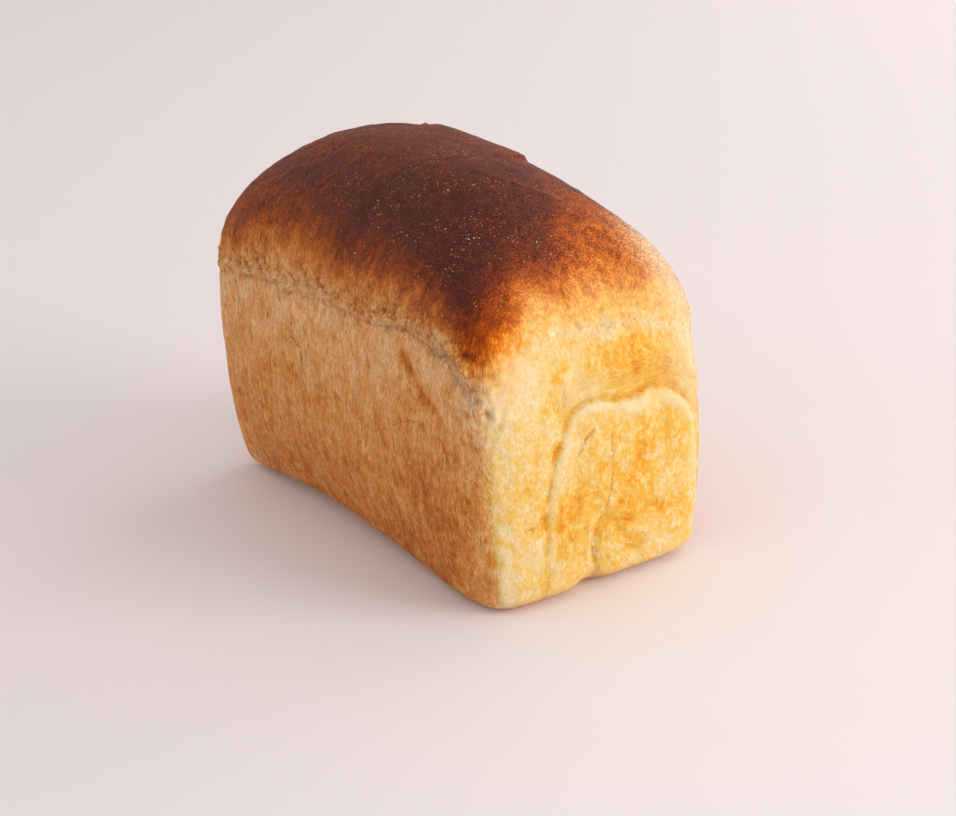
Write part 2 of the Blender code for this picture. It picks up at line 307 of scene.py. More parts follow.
FAR_END_MARKS = (
    (((-0.034, 0.088), (-0.018, 0.094), (0.006, 0.092), (0.026, 0.084), (0.038, 0.07)), 0.002, -0.0012, 0.12),
    (((-0.036, 0.084), (-0.018, 0.089), (0.006, 0.087), (0.023, 0.080), (0.034, 0.068)), 0.003, 0.001, -0.13),
    (((-0.006, 0.078), (-0.004, 0.058), (0.002, 0.04), (0.001, 0.022), (0.003, 0.006)), 0.0018, -0.001, 0.08),
    (((-0.0300, 0.0500), (-0.0180, 0.0420), (-0.0060, 0.0440)), 0.0016, -0.0008, 0.10),
    (((0.0100, 0.0300), (0.0200, 0.0250), (0.0300, 0.0290)), 0.0016, -0.0008, 0.10),
)

# Thin cracks on each wall: a line of (along the wall, height), half its width, and its strength.
NEAR_END_CRACKS = (
    (((-0.0035, 0.0722), (-0.0077, 0.0688), (-0.0110, 0.0646), (-0.0135, 0.0610)), 0.00070, 0.9),
    (((0.0044, 0.0697), (0.0036, 0.0577), (0.0030, 0.0452), (-0.0010, 0.0330)), 0.00050, 0.6),
    (((-0.0010, 0.0330), (-0.0053, 0.0244), (-0.0063, 0.0198), (-0.0045, 0.0094)), 0.00045, 0.65),
    (((0.0060, 0.0310), (0.0080, 0.0285), (0.0147, 0.0250)), 0.00050, 0.75),
    (((0.0100, 0.0160), (0.0148, 0.0129), (0.0190, 0.0132)), 0.00040, 0.5),
    (((-0.0190, 0.0300), (-0.0172, 0.0262), (-0.0160, 0.0235)), 0.00035, 0.7),
    (((-0.0410, 0.0360), (-0.0375, 0.0368), (-0.0325, 0.0362)), 0.00040, 0.7),
    (((0.0345, 0.0400), (0.0352, 0.0390)), 0.00050, 0.6),
    (((-0.0460, 0.0620), (-0.0450, 0.0600)), 0.00040, 0.5),
    (((-0.0285, 0.0440), (-0.0262, 0.0530), (-0.0230, 0.0630)), 0.00040, 0.5),
)
FRONT_CRACKS = (
    (((-0.0331, 0.0915), (-0.0300, 0.0857), (-0.0243, 0.0824), (-0.0230, 0.0740)), 0.00045, 0.9),
    (((-0.0820, 0.1022), (-0.0783, 0.0933), (-0.0743, 0.0851)), 0.00035, 0.8),
    (((-0.0606, 0.1050), (-0.0600, 0.1015)), 0.00060, 0.8),
    (((-0.0575, 0.0975), (-0.0565, 0.0945)), 0.00045, 0.6),
    (((-0.0425, 0.1065), (-0.0406, 0.1023), (-0.0390, 0.0995)), 0.00055, 0.9),
    (((-0.0170, 0.1146), (-0.0145, 0.1130)), 0.00070, 0.8),
    (((-0.0060, 0.1158), (-0.0035, 0.1142), (0.0025, 0.1130)), 0.00055, 0.9),
    (((-0.0260, 0.1225), (-0.0200, 0.1190), (-0.0160, 0.1165)), 0.00060, 1.0),
    (((-0.0645, 0.1205), (-0.0605, 0.1165), (-0.0575, 0.1130)), 0.00065, 1.0),
    (((-0.0550, 0.1180), (-0.0500, 0.1130)), 0.00055, 1.0),
    (((0.0240, 0.1090), (0.0346, 0.1085), (0.0441, 0.1104), (0.0523, 0.1121)), 0.00040, 0.7),
    (((0.0540, 0.1118), (0.0625, 0.1120), (0.0718, 0.1106), (0.0790, 0.1085)), 0.00045, 0.8),
    (((0.0650, 0.1196), (0.0672, 0.1180)), 0.00060, 0.8),
    (((0.0738, 0.1225), (0.0762, 0.1208)), 0.00045, 0.6),
    (((0.0340, 0.0730), (0.0378, 0.0657), (0.0405, 0.0595)), 0.00035, 0.8),
    (((0.0318, 0.0925), (0.0328, 0.0900)), 0.00045, 0.7),
    (((0.0635, 0.0818), (0.0645, 0.0802)), 0.00050, 0.7),
    (((0.0809, 0.0765), (0.0859, 0.0703), (0.0902, 0.0640)), 0.00035, 0.7),
    (((0.0475, 0.0690), (0.0586, 0.0742), (0.0666, 0.0760), (0.0731, 0.0750)), 0.00030, 0.5),
    (((0.0840, 0.1090), (0.0880, 0.1055), (0.0960, 0.0990)), 0.00035, 0.6),
    (((0.0880, 0.1030), (0.0930, 0.0975)), 0.00030, 0.5),
    (((-0.0700, 0.0980), (-0.0690, 0.0940)), 0.00035, 0.5),
    (((-0.0500, 0.0930), (-0.0480, 0.0880)), 0.00030, 0.5),
)
BACK_CRACKS = (
    (((0.0331, 0.0915), (0.0300, 0.0840), (0.0253, 0.0804), (0.0240, 0.0730)), 0.00040, 0.8),
    (((-0.0606, 0.1050), (-0.0590, 0.1000)), 0.00055, 0.8),
    (((0.0425, 0.1075), (0.0400, 0.1033), (0.0390, 0.0995)), 0.00055, 0.8),
    (((-0.0340, 0.0700), (-0.0378, 0.0627), (-0.0405, 0.0565)), 0.00035, 0.7),
    (((0.0140, 0.1116), (0.0200, 0.1100), (0.0260, 0.1110)), 0.00045, 0.8),
    (((-0.0120, 0.1106), (-0.0050, 0.1120), (0.0020, 0.1110)), 0.00045, 0.8),
)
FAR_END_CRACKS = (
    (((-0.0060, 0.0780), (-0.0040, 0.0580), (0.0020, 0.0400)), 0.00035, 0.6),
    (((0.0020, 0.0400), (0.0010, 0.0220), (0.0030, 0.0060)), 0.00045, 0.7),
    (((-0.0240, 0.0480), (-0.0180, 0.0430), (-0.0100, 0.0430)), 0.00045, 0.6),
)
CRACK_REACH = 0.0022
CRACK_GROOVE = 0.0009
CRACK_DEPTH = 0.0004

# The split along the crown, the stretch of it that is open, its wrinkles, and the flake at its far part.
SPLIT_LINE = (
    (-0.034, 0.0120),
    (-0.012, 0.0195),
    (0.012, 0.0225),
    (0.031, 0.0238),
    (0.046, 0.0215),
    (0.0613, 0.0280),
    (0.0672, 0.0315),
    (0.082, 0.0380),
)
STEP_PLACE = 0.033
SEAM_START = 0.036
SEAM_END = 0.072
SEAM_DEPTH = 0.0017
SEAM_OFFSET = 0.0010
WRINKLES = (
    (((-0.070, -0.010), (-0.050, -0.004), (-0.030, 0.010)), 0.0012, 0.00035, -0.03),
    (((-0.052, -0.030), (-0.043, -0.024), (-0.036, -0.012)), 0.0010, 0.00030, -0.03),
    (((-0.030, -0.040), (-0.020, -0.030), (-0.014, -0.018)), 0.0010, 0.00025, -0.03),
    (((-0.075, -0.030), (-0.062, -0.020), (-0.052, -0.016)), 0.0012, 0.00030, -0.03),
    (((-0.010, 0.004), (0.010, 0.010), (0.026, 0.012)), 0.0012, 0.00030, -0.03),
    (((0.040, -0.006), (0.060, 0.004), (0.074, 0.016)), 0.0014, 0.00030, -0.02),
)
FLAKE_PLACE = (-0.028, 0.0158)

# Grains of flour on the crown: X, Y and size, the clear ones of the shown side first.
FLOUR_GRAINS = (
    (0.0147, -0.0499, 0.00085),
    (0.0235, -0.0430, 0.00050),
    (-0.0092, -0.0379, 0.00045),
    (0.0425, -0.0204, 0.00075),
    (0.0582, -0.0330, 0.00075),
    (0.0705, -0.0305, 0.00080),
    (0.0716, -0.0288, 0.00070),
    (0.0725, -0.0312, 0.00055),
    (0.0698, -0.0324, 0.00045),
    (0.0734, -0.0274, 0.00045),
    (0.0688, -0.0290, 0.00040),
    (0.0860, -0.0088, 0.00055),
    (0.0850, -0.0068, 0.00040),
    (0.0658, 0.0031, 0.00050),
    (0.0630, 0.0214, 0.00050),
    (-0.0270, 0.0140, 0.00055),
    (0.0200, 0.0050, 0.00045),
    (-0.0350, -0.0100, 0.00040),
    (0.0080, -0.0290, 0.00035),
    (-0.0600, 0.0150, 0.00050),
    (-0.0450, 0.0290, 0.00060),
    (0.0100, 0.0380, 0.00050),
    (0.0120, 0.0395, 0.00040),
    (0.0480, 0.0420, 0.00045),
)

# The photo's camera: where it looks, from which compass angle and height, how far off, its lens and its tilt.
CAMERA_TARGET = Vector((0.05763, -0.02324, 0.07))
CAMERA_AZIMUTH = np.radians(56.94)
CAMERA_ELEVATION = np.radians(21.78)
CAMERA_ROLL = np.radians(-4.0)
CAMERA_DISTANCE = 1.02
CAMERA_LENS = 93.62
SENSOR_WIDTH = 36.0

# The two lights stand equally far off and aim at the loaf's middle.
LIGHT_TARGET = Vector((0.0, 0.0, 0.07))
LIGHT_DISTANCE = 1.65
LIGHT_SIZE = 1.0

# The floor's sheet: where it starts before the loaf, where and how it curves up behind, its top and width.
SHEET_START = -2.5
SHEET_BEND = 1.6
SHEET_ROUND = 0.8
SHEET_TOP = 3.0
SHEET_WIDTH = 8.0
SHEET_COLOUR = (0.835, 0.772, 0.775, 1.0)


def hill(t):
    """A smooth hill, 1 at t = 0 and close to 0 beyond 2 on either side."""
    return np.exp(-t * t)


def ease(t):
    """0 up to t = 0, 1 from t = 1, and smooth between them."""
    t = np.clip(t, 0.0, 1.0)
    return t * t * (3.0 - 2.0 * t)


def lumps(points, size, seed, stretch=1.0):
    """Smooth noise, one value a point, in lumps of that size, drawn out in height by the stretch."""
    scale = np.array((1.0, 1.0, 1.0 / stretch)) / size
    return np.array([noise.noise(Vector(p)) for p in points * scale + SEED_SHIFT * seed])


def ridges(points, size, seed):
    """Sharp ridges round lumps of that size: 1 on the ridges, and below 0 in the middle of the lumps."""
    return 1 - RIDGE_SHARPNESS * np.abs(lumps(points, size, seed))


def facing(part):
    """How much each point belongs to a side, by the part of its normal that points out of that side."""
    return ease((part - FACING_START) / FACING_BLEND)


def smooth_steps(table, angle):
    """Reads a table of (compass angle, amount) pairs at each angle, easing from one pair to the next."""
    angles, amounts = np.array(table, float).T
    angle = (angle - angles[0]) % 360 + angles[0]
    index = np.clip(np.searchsorted(angles, angle, side="right") - 1, 0, len(angles) - 2)
    share = (angle - angles[index]) / (angles[index + 1] - angles[index])
    return amounts[index] + (amounts[index + 1] - amounts[index]) * ease(share)


def straight_steps(table, value):
    """Reads a table of (place, amount) pairs at each value, straight from one pair to the next."""
    return np.interp(value, *np.array(table, float).T)


def smooth_line(line, steps=4):
    """A line of points with its corners curved, passing through every point."""
    points = [2 * np.array(line[0]) - line[1], *np.array(line), 2 * np.array(line[-1]) - line[-2]]
    curve = []
    for before, start, end, after in zip(points, points[1:], points[2:], points[3:]):
        for t in np.arange(steps) / steps:
            early = (2 * before - 5 * start + 4 * end - after) * t
            late = (3 * start - before - 3 * end + after) * t * t
            curve.append(start + 0.5 * t * (end - before + (early + late)))
    return [*curve, points[-2]]


def line_place(u, v, line):
    """Each point's distance from a line, positive on its left, how far along it is, and the line's length."""
    nearest = np.full(len(u), np.inf)
    side = np.ones(len(u))
    place = np.zeros(len(u))
    start = 0.0
    for (u0, v0), (u1, v1) in zip(line, line[1:]):
        du, dv = u1 - u0, v1 - v0
        length = np.hypot(du, dv)
        share = np.clip(((u - u0) * du + (v - v0) * dv) / length**2, 0.0, 1.0)
        away = np.hypot(u - u0 - share * du, v - v0 - share * dv)
        closer = away < nearest
        side = np.where(closer, np.sign(du * (v - v0) - dv * (u - u0)), side)
        place = np.where(closer, start + share * length, place)
        nearest = np.where(closer, away, nearest)
        start += length
    return nearest * side, place, start


def fade_ends(place, length, share, start):
    """How strong a line is along its length: it fades over that share at both ends, from that start."""
    return ease(place / (share * length) + start) * ease((length - place) / (share * length) + start)


def divided_box():
    """A cube from -1 to 1 with its faces divided into the grid's cells."""
    box = bmesh.new()
    bmesh.ops.create_cube(box, size=2.0)
    for axis, cells in enumerate(GRID_CELLS):
        along = [e for e in box.edges if abs(e.verts[0].co[axis] - e.verts[1].co[axis]) > 1.0]
        bmesh.ops.subdivide_edges(box, edges=along, cuts=cells - 1, use_grid_fill=True)
    return box


def round_over(box):
    """Moves the box's points onto the smooth loaf: a rounded base, straight walls and an arched crown."""
    half_length, half_width = LENGTH / 2, WIDTH / 2
    end_round = np.where(box[:, 0] > 0, NEAR_END_ROUND, FAR_END_ROUND)
    x, y = box[:, 0] * half_length, box[:, 1] * half_width
    z = (box[:, 2] + 1) / 2 * CROWN_HEIGHT
    core_x = np.clip(x, end_round - half_length, half_length - end_round)
    out_x, out_y = (x - core_x) / end_round, y / half_width
    ring = np.maximum(np.abs(out_x), np.abs(out_y))
    rise = np.clip((z - RIM_HEIGHT) / (CROWN_HEIGHT - RIM_HEIGHT), 0, 1)

    arch = (ring**ARCH_FULLNESS + rise**ARCH_FULLNESS) ** (1 / ARCH_FULLNESS)
    arch = np.where(rise > 0, np.maximum(arch, 1e-9), 1.0)
    z = np.where(rise > 0, RIM_HEIGHT + (CROWN_HEIGHT - RIM_HEIGHT) * rise / arch, z)
    square = WALL_SQUARENESS + (CROWN_SQUARENESS - WALL_SQUARENESS) * ease(rise / arch / SQUARENESS_FADE)
    spread = (np.abs(out_x) ** square + np.abs(out_y) ** square) ** (1 / square)
    shrink = ring / np.maximum(spread, 1e-9)

    edge = np.clip(1 - (1 - ring) * half_width / BASE_ROUND, 0, 1)
    drop = np.clip(1 - z / BASE_ROUND, 0, 1)
    bend = (edge**BASE_FULLNESS + drop**BASE_FULLNESS) ** (1 / BASE_FULLNESS)
    bend = np.where((drop > 0) & (edge > 0), bend, 1.0)
    low_ring = np.where(edge > 0, 1 - (1 - edge / bend) * BASE_ROUND / half_width, ring)
    z = np.where(drop > 0, BASE_ROUND * (1 - drop / bend), z)

    inwards = np.where(drop > 0, low_ring / np.maximum(ring, 1e-9), 1 / arch) * shrink
    return np.column_stack((core_x + out_x * end_round * inwards, out_y * half_width * inwards, z))


def shape_walls(points):
    """Leans, swells and sinks the walls, tilts the crown and lifts the middle of the base's long edges."""
    x, y, z = points.T
    along, across = x / (LENGTH / 2), y / (WIDTH / 2)
    below = np.clip(RIM_HEIGHT - z, 0, None)
    swell = np.clip(1 - (z / SWELL_HEIGHT - 1) ** 2, 0, 1)
    middle = hill((x - WAIST_PLACE) / WAIST_REACH) * (1 - np.clip(np.abs(along), 0, 1) ** 4)
    front_lean = FRONT_LEAN_FAR + (FRONT_LEAN_NEAR - FRONT_LEAN_FAR) * (along + 1) / 2
    side_lean = np.where(y < 0, front_lean, BACK_LEAN)
    end_lean = np.where(x < 0, FAR_END_LEAN, 0.0)
    end_swell = np.where(x < 0, FAR_END_SWELL, NEAR_END_SWELL)
    waist = WAIST_DEPTH * middle * hill(z / WAIST_HEIGHT)
    moved_y = y - across * (side_lean * below - SIDE_SWELL * swell + waist)
    moved_x = x - along * (end_lean * below - end_swell * swell)

    rise = ease((z - RIM_HEIGHT) / (CROWN_HEIGHT - RIM_HEIGHT))
    crown = rise * (CROWN_END_FULLNESS * along**2 - CROWN_SLOPE * along)
    low = np.clip(1 - z / BASE_LIFT_HEIGHT, 0, 1)
    edge = ease((np.abs(across) - BASE_LIFT_START) / (BASE_LIFT_FULL - BASE_LIFT_START))
    foot = (x - FOOT_WAVE_PLACE) / FOOT_WAVE_REACH
    lift = (BASE_LIFT * middle + FOOT_WAVE * foot * hill(foot)) * edge
    run = ease((np.abs(x) - (LENGTH / 2 - NOTCH_RUN)) / NOTCH_RUN)
    notch = np.where(x > 0, NOTCH_LIFT, 0.5 * NOTCH_LIFT) * run * hill((y - NOTCH_PLACE) / NOTCH_REACH)
    return np.column_stack((moved_x, moved_y, z + crown + (lift + notch) * low))


class Surface:
    """Each point of the smooth loaf, its side, the oven's and tin's marks, and painted shade, sheen and glow.
    """

    def __init__(self, points, normals):
        self.points, self.normals = points, normals
        self.x, self.y, self.z = points.T
        nx, ny, nz = normals.T
        self.near, self.far, self.front, self.back = facing(np.array((nx, -nx, -ny, ny)))
        self.top = ease((nz - CROWN_FACING_START) / FACING_BLEND)
        self.gold = ease((np.abs(nx) - GOLD_FACING_START) / GOLD_FACING_BLEND)
        self.tint = self.gold * np.where(nx > 0, 1.0, FAR_END_TINT)
        self.angle = np.degrees(np.arctan2(self.y / WIDTH, self.x / LENGTH))
        self.height, self.bake, self.grime, self.pale, self.crack_strength = np.zeros((5, len(points)))
        self.crack = np.full(len(points), 9.0)
        self.grain = points * (1, 1, 1 / WALL_GRAIN_STRETCH)

    def mark(self, u, v, wall, marks):
        """Soft furrows and ridges along each line, broken up unevenly, with their own baking."""
        for line, width, rise, bake in marks:
            away, place, length = line_place(u, v, smooth_line(line))
            ends = fade_ends(place, length, 0.12, 0.3)
            ragged = away + 0.35 * width * self.wander
            self.height += wall * rise * hill(ragged / width) * ends
            self.bake += wall * bake * hill(ragged / (1.15 * width)) * ends * (0.8 + 0.5 * self.patches)

    def split_thin(self, u, v, wall, cracks):
        """Thin cracks: the distance from the strongest one, in its half widths, and that one's strength."""
        for line, width, strength in cracks:
            away, place, length = line_place(u, v, smooth_line(line))
            ends = fade_ends(place, length, 0.15, 0.15)
            reach = wall * strength * ends * ease(2.2 - np.abs(away) / CRACK_REACH)
            self.crack = np.where(reach > self.crack_strength, away / width, self.crack)
            self.crack_strength = np.maximum(self.crack_strength, reach)
            self.height -= wall * strength * CRACK_DEPTH * hill(away / CRACK_GROOVE) * ends

    def brown_crown(self):
        """The oven's browning: dark on the crown, through orange at its edge, to the golden walls."""
        edge = smooth_steps(BROWN_HEIGHTS, self.angle)
        speed = smooth_steps(BROWN_SPEEDS, self.angle)
        speed = speed + (1.0 - speed) * ease((self.z - 0.140) / 0.024)
        ragged = 0.0045 * lumps(self.points, 0.026, 5) + 0.0030 * lumps(self.points, 0.009, 6)
        over = (self.z - edge + ragged) * speed
        self.bake += straight_steps(BROWNING, over) + WALL_BAKE
        sides = self.front + self.back
        low = np.clip(1 - self.z / 0.098, 0, 1)
        near_part = ease((self.x - 0.01) / 0.07) * ease((0.100 - self.z) / 0.03)
        self.bake += sides * (0.27 * low**0.8 + 0.07 * near_part + 0.02)
        self.bake += self.gold * (0.06 + 0.02 * low)
        self.bake += (0.06 + 0.03 * self.gold) * lumps(self.points, 0.017, 7)
        self.bake += 0.08 * (1 - 0.6 * self.top) * lumps(self.points, 0.0065, 8)
        self.bake -= self.top * 0.05 * ease(-self.x / 0.09)
        dark_x, dark_y = DARK_CROWN_PLACE
        self.bake += self.top * 0.14 * hill((self.x - dark_x) / 0.045) * hill((self.y - dark_y) / 0.020)
        for spot, radius, bake in BAKED_SPOTS:
            self.bake += bake * hill(np.linalg.norm(self.points - spot, axis=1) / radius)
        # A painted glow: the crown's brown turns a saturated orange at the near front corner, where it dips
        # into shade.
        self.painted_glow = hill((self.angle - PAINTED_GLOW_ANGLE) / 12) * hill((self.z - PAINTED_GLOW_HEIGHT) / 0.019)
        self.painted_glow *= ease((self.angle - PAINTED_GLOW_ANGLE + 7.5) / 4)
        # A painted sheen: a pale wash up the near end's back corner, where the light grazes it.
        painted_sheen = hill((self.angle - PAINTED_SHEEN_ANGLE) / 9) * ease((self.z - 0.060) / 0.03)
        self.pale += 0.75 * painted_sheen * ease((0.150 - self.z) / 0.02)

    def tear(self):
        """The torn dough above the tin's rim: an uneven line, crags over it, and the bulge of crust above."""
        self.above_tear = self.z - smooth_steps(TEAR_HEIGHTS, self.angle)
        up = self.above_tear - 0.0020 * lumps(self.points, 0.015, 2) - 0.0010 * lumps(self.points, 0.005, 9)
        self.rim = up * 1000
        wall = 1 - facing(self.normals[:, 2])
        sides = np.clip(self.front + self.back, 0, 1)
        depth = ease(0.30 + 1.9 * lumps(self.points, 0.010, 10))
        zone = hill((up - 0.0050) / 0.0062) * wall
        slanted = self.points @ CRAG_SLANT
        crags = 0.6 * ridges(slanted, 0.0062, 3) + 0.4 * ridges(slanted, 0.0036, 4)
        self.height -= 0.0009 * depth * hill(up / 0.0017) * wall * (0.25 + 0.75 * sides)
        self.height += 0.0021 * (crags - 0.3) * zone * (0.35 + 0.65 * sides)
        end_part = self.near * ease((self.y + 0.020) / 0.015) * hill((up - 0.001) / 0.003)
        self.torn = np.clip(zone * sides * (1 - self.painted_glow) + 0.7 * end_part + 0.6 * self.far * zone, 0, 1)
        self.height += 0.0008 * hill((up - 0.013) / 0.012) * wall
        self.bake -= (0.05 + 0.02 * sides) * hill((up + 0.0035) / 0.006) * wall
        self.bake += (0.30 * (0.35 - crags) - 0.02) * zone * sides
        # Painted shade: broken dark dashes where the torn lip overhangs the line, and grey-brown shade patches
        # on the front.
        self.grime += 0.16 * depth * hill((up + 0.0005) / 0.0022) * sides
        ragged = 0.0022 * lumps(self.points, 0.0050, 28)
        patchy = np.clip(0.9 + 1.3 * self.patches, 0, 1.5)
        for line, width, amount in FRONT_PAINTED_SHADES:
            away, _, _ = line_place(self.x, self.z, smooth_line(line))
            self.grime += self.front * amount * hill((away + ragged) / width) * patchy

    def flap(self):
        """The raised flap on the near end: a groove round it, a pale soft lip and a slightly proud middle."""
        away, along, _ = line_place(self.y, self.z, smooth_line(FLAP_LINE))
        inside = -away + 0.0012 * lumps(self.points, 0.009, 11) + 0.0006 * lumps(self.points, 0.004, 24)
        self.inside = np.clip(inside * 1000, -30, 30)
        lip = straight_steps(LIP_WIDTHS, along) * (1 + 0.4 * lumps(self.points, 0.014, 25))
        uneven = np.clip(1 + 1.0 * lumps(self.points, 0.008, 17), 0.2, 1.8)
        clear = 0.4 + 0.6 * ease((self.z - 0.045) / 0.03)
        on_lip = ease(inside / 0.0010 + 0.5) * (1 - ease((inside - 0.6 * lip) / lip)) * clear
        self.height += self.near * uneven * (0.0007 * ease(inside / 0.0034 + 0.2) + 0.0005 * on_lip)
        self.height -= self.near * 0.0003 * hill((inside + 0.0008) / 0.0016) * clear * uneven
        # Painted warm shade: extra baking in the groove and along the flap's left edge, where it lies in
        # shade.
        groove = hill((inside + 0.0009) / 0.0015) * clear * uneven
        self.bake += self.near * (0.13 * groove - 0.15 * on_lip * uneven)
        shaded = hill((inside + 0.0004) / 0.0013) * ease((-0.010 - self.y) / 0.006) * clear
        self.bake += self.near * 0.14 * shaded
        self.lip = self.near * ease(inside / 0.0010) * (1 - ease((inside - 0.8 * lip) / lip)) * clear
        self.bake += self.near * 0.05 * ease(inside / 0.006) * hill((self.z - 0.034) / 0.016)
        middle = ease((inside - lip) / 0.006)
        high = ease((self.z - 0.034) / 0.01)
        right_part = ease(self.y / 0.006) * hill((self.y - 0.004) / 0.014)
        low_left = ease((0.006 - self.y) / 0.006) * hill((self.z - 0.032) / 0.016)
        self.bake += self.near * middle * (0.05 * high * right_part + 0.05 * low_left)

    def near_end_dough(self):
        """The pale rim of torn dough on the near end, the orange bulge under it, and the pale left part."""
        up = self.above_tear + 0.0012 * lumps(self.points, 0.009, 12)
        band = hill(up / 0.0030)
        self.height += self.near * 0.0008 * band * (0.6 + 0.8 * lumps(self.points, 0.004, 13))
        self.bake -= self.near * 0.02 * band
        bulge = hill((up + 0.015) / 0.0095) * ease((self.y + 0.014) / 0.018)
        self.bake += self.near * 0.12 * bulge
        self.height += self.near * 0.0010 * bulge
        under = hill((up + 0.006) / 0.003) * ease((self.y + 0.010) / 0.018)
        self.bake += self.near * 0.05 * under
        left = ease((-0.020 - self.y) / 0.012) * ease((0.114 - self.z) / 0.012)
        self.bake -= self.near * left * (0.10 * ease((self.z - 0.080) / 0.015) + 0.03)
        self.bake -= self.near * 0.07 * hill(self.z / 0.010)
        self.pale += self.near * 0.30 * band * ease((self.y + 0.03) / 0.02)
        upper = self.gold * ease((self.z - 0.104) / 0.014) * ease((self.x - 0.02) / 0.04)
        upper *= (1 - np.clip(1.4 * self.painted_glow, 0, 1)) * ease((0.62 - self.bake) / 0.2)
        self.pale += 0.17 * upper
        self.bake += 0.04 * upper

    def corners(self):
        """The pale rubbed edges of the tin's corners, with a small crater and a whorl on the near one."""
        turn = np.abs((self.angle % 90) - 45)
        edge = hill(turn / 5.5) * ease((0.101 - self.z) / 0.012)
        self.bake -= edge * (0.09 + 0.05 * (1 - ease((self.z - 0.015) / 0.035)))
        crumbly = hill(turn / 7) * ease((self.z - 0.055) / 0.03) * ease((0.122 - self.z) / 0.015)
        crumbs = ridges(self.points, 0.0040, 26)
        self.height += 0.0010 * (crumbs - 0.3) * crumbly
        self.bake += 0.16 * (0.25 - crumbs) * crumbly
        spot = np.linalg.norm((self.points - CORNER_CRATER) * (1, 1, 1.25), axis=1)
        self.height -= 0.0016 * hill(spot / 0.0019)
        self.height += 0.0006 * hill((spot - 0.0034) / 0.0012)
        self.bake += 0.14 * hill(spot / 0.0024)
        whorl = np.linalg.norm(self.points - CORNER_WHORL, axis=1)
        self.height += 0.0005 * hill((whorl - 0.0055) / 0.0016) - 0.0006 * hill(whorl / 0.0035)
        self.bake += 0.12 * hill(whorl / 0.0036) - 0.07 * hill((whorl - 0.0062) / 0.0018)
        self.bake += 0.06 * hill((whorl - 0.0095) / 0.0018)

    def split(self):
        """The split in the crown, whose front edge stands proud, and the crown's wrinkles and flake."""
        away, place, _ = line_place(self.x, self.y, smooth_line(SPLIT_LINE))
        away = away + 0.0008 * lumps(self.points, 0.006, 14)
        proud = np.where(away < 0, hill(away / 0.010), hill(away / 0.0016))
        before = 1 - ease((self.x - STEP_PLACE) / 0.0022)
        ends = ease((place - 0.004) / 0.012)
        self.height += self.top * ends * proud * (0.0008 + 0.0014 * before)
        seam = ease((self.x - SEAM_START) / 0.006) * (1 - ease((self.x - SEAM_END) / 0.006))
        self.height -= self.top * seam * SEAM_DEPTH * hill((away - SEAM_OFFSET) / 0.0013)
        self.crack = np.where(self.top * seam > 0.3, (away - SEAM_OFFSET) / 0.0005, self.crack)
        reach = 0.9 * seam * self.top * ease(2.2 - np.abs(away) / 0.002)
        self.crack_strength = np.maximum(self.crack_strength, reach)
        self.mark(self.x, self.y, self.top, WRINKLES)
        spot = np.hypot(self.x - FLAKE_PLACE[0], self.y - FLAKE_PLACE[1])
        self.height += self.top * 0.0012 * hill(spot / 0.0016)

    def lumps_and_flutes(self):
        """Broad unevenness everywhere, and the fine upright flutes of the stretched walls."""
        self.height += 0.0008 * lumps(self.points, 0.042, 1)
        flutes = lumps(self.points, 0.0068, 4, 7.0) + 0.8 * lumps(self.points, 0.0034, 15, 7.0)
        self.height += 0.00040 * flutes * (1 - self.top) * (1 - 0.5 * self.gold)
        self.bake += 0.035 * flutes * (1 - self.top) * (1 - 0.6 * self.gold)
        dimples = lumps(self.points, 0.0055, 16) + 0.7 * lumps(self.points, 0.0030, 18)
        self.height += 0.00024 * dimples * self.top
        rough_end = 0.0006 * lumps(self.points, 0.0055, 19) + 0.0003 * lumps(self.points, 0.0027, 27)
        self.height += rough_end * self.gold * (1 - 0.7 * self.top)

    def flow(self):
        """Turns the grain of the dough: upright on the long sides, flowing round the folds on the ends."""
        drift = lumps(self.points, 0.020, 20)
        curl = lumps(self.points, 0.009, 22)
        y, z = self.y - FOLD_WHORL[0], self.z - FOLD_WHORL[1]
        turn = FOLD_WHORL_TURN * self.near * hill(np.hypot(y, z) / FOLD_WHORL_REACH)
        turned_y = y * np.cos(turn) - z * np.sin(turn) + 0.0050 * drift + 0.0014 * curl
        turned_z = y * np.sin(turn) + z * np.cos(turn)
        wavy = np.column_stack((self.x, turned_y, turned_z / END_GRAIN_STRETCH))
        self.grain += self.gold[:, None] * (wavy - self.grain)
        self.grain[:, 0] += (1 - self.gold) * (0.0020 * drift + 0.0010 * curl)
        away, along, _ = line_place(self.y, self.z, smooth_line(FLAP_LINE))
        outside = ease((away + 0.0005) / 0.004) * ease((self.z - 0.060) / 0.02)
        outside *= self.near * hill(np.maximum(away - 0.003, 0) / 0.007) * ease((self.y + 0.022) / 0.01)
        bent = np.column_stack((self.x, -away + 0.002 * drift, along / FLAP_GRAIN_STRETCH))
        self.grain += outside[:, None] * (bent - self.grain)

    def finish(self):
        """Adds up every mark and lays the base flat."""
        self.wander = lumps(self.points, 0.0032, 21)
        self.patches = lumps(self.points, 0.0050, 23)
        self.brown_crown()
        self.lumps_and_flutes()
        self.tear()
        self.flap()
        self.near_end_dough()
        self.corners()
        self.split()
        walls = (
            (self.y, self.near, NEAR_END_MARKS, NEAR_END_CRACKS),
            (self.y, self.far, FAR_END_MARKS, FAR_END_CRACKS),
            (self.x, self.front, FRONT_MARKS, FRONT_CRACKS),
            (self.x, self.back, BACK_MARKS, BACK_CRACKS),
        )
        for along, wall, marks, cracks in walls:
            self.mark(along, self.z, wall, marks)
            self.split_thin(along, self.z, wall, cracks)
        self.flow()
        self.height *= ease(self.z / BASE_ROUND)
        moved = self.points + self.normals * self.height[:, None]
        moved[:, 2] = np.where(moved[:, 2] < FLAT_BASE_HEIGHT, 0.0, moved[:, 2])
        return moved + CENTRING

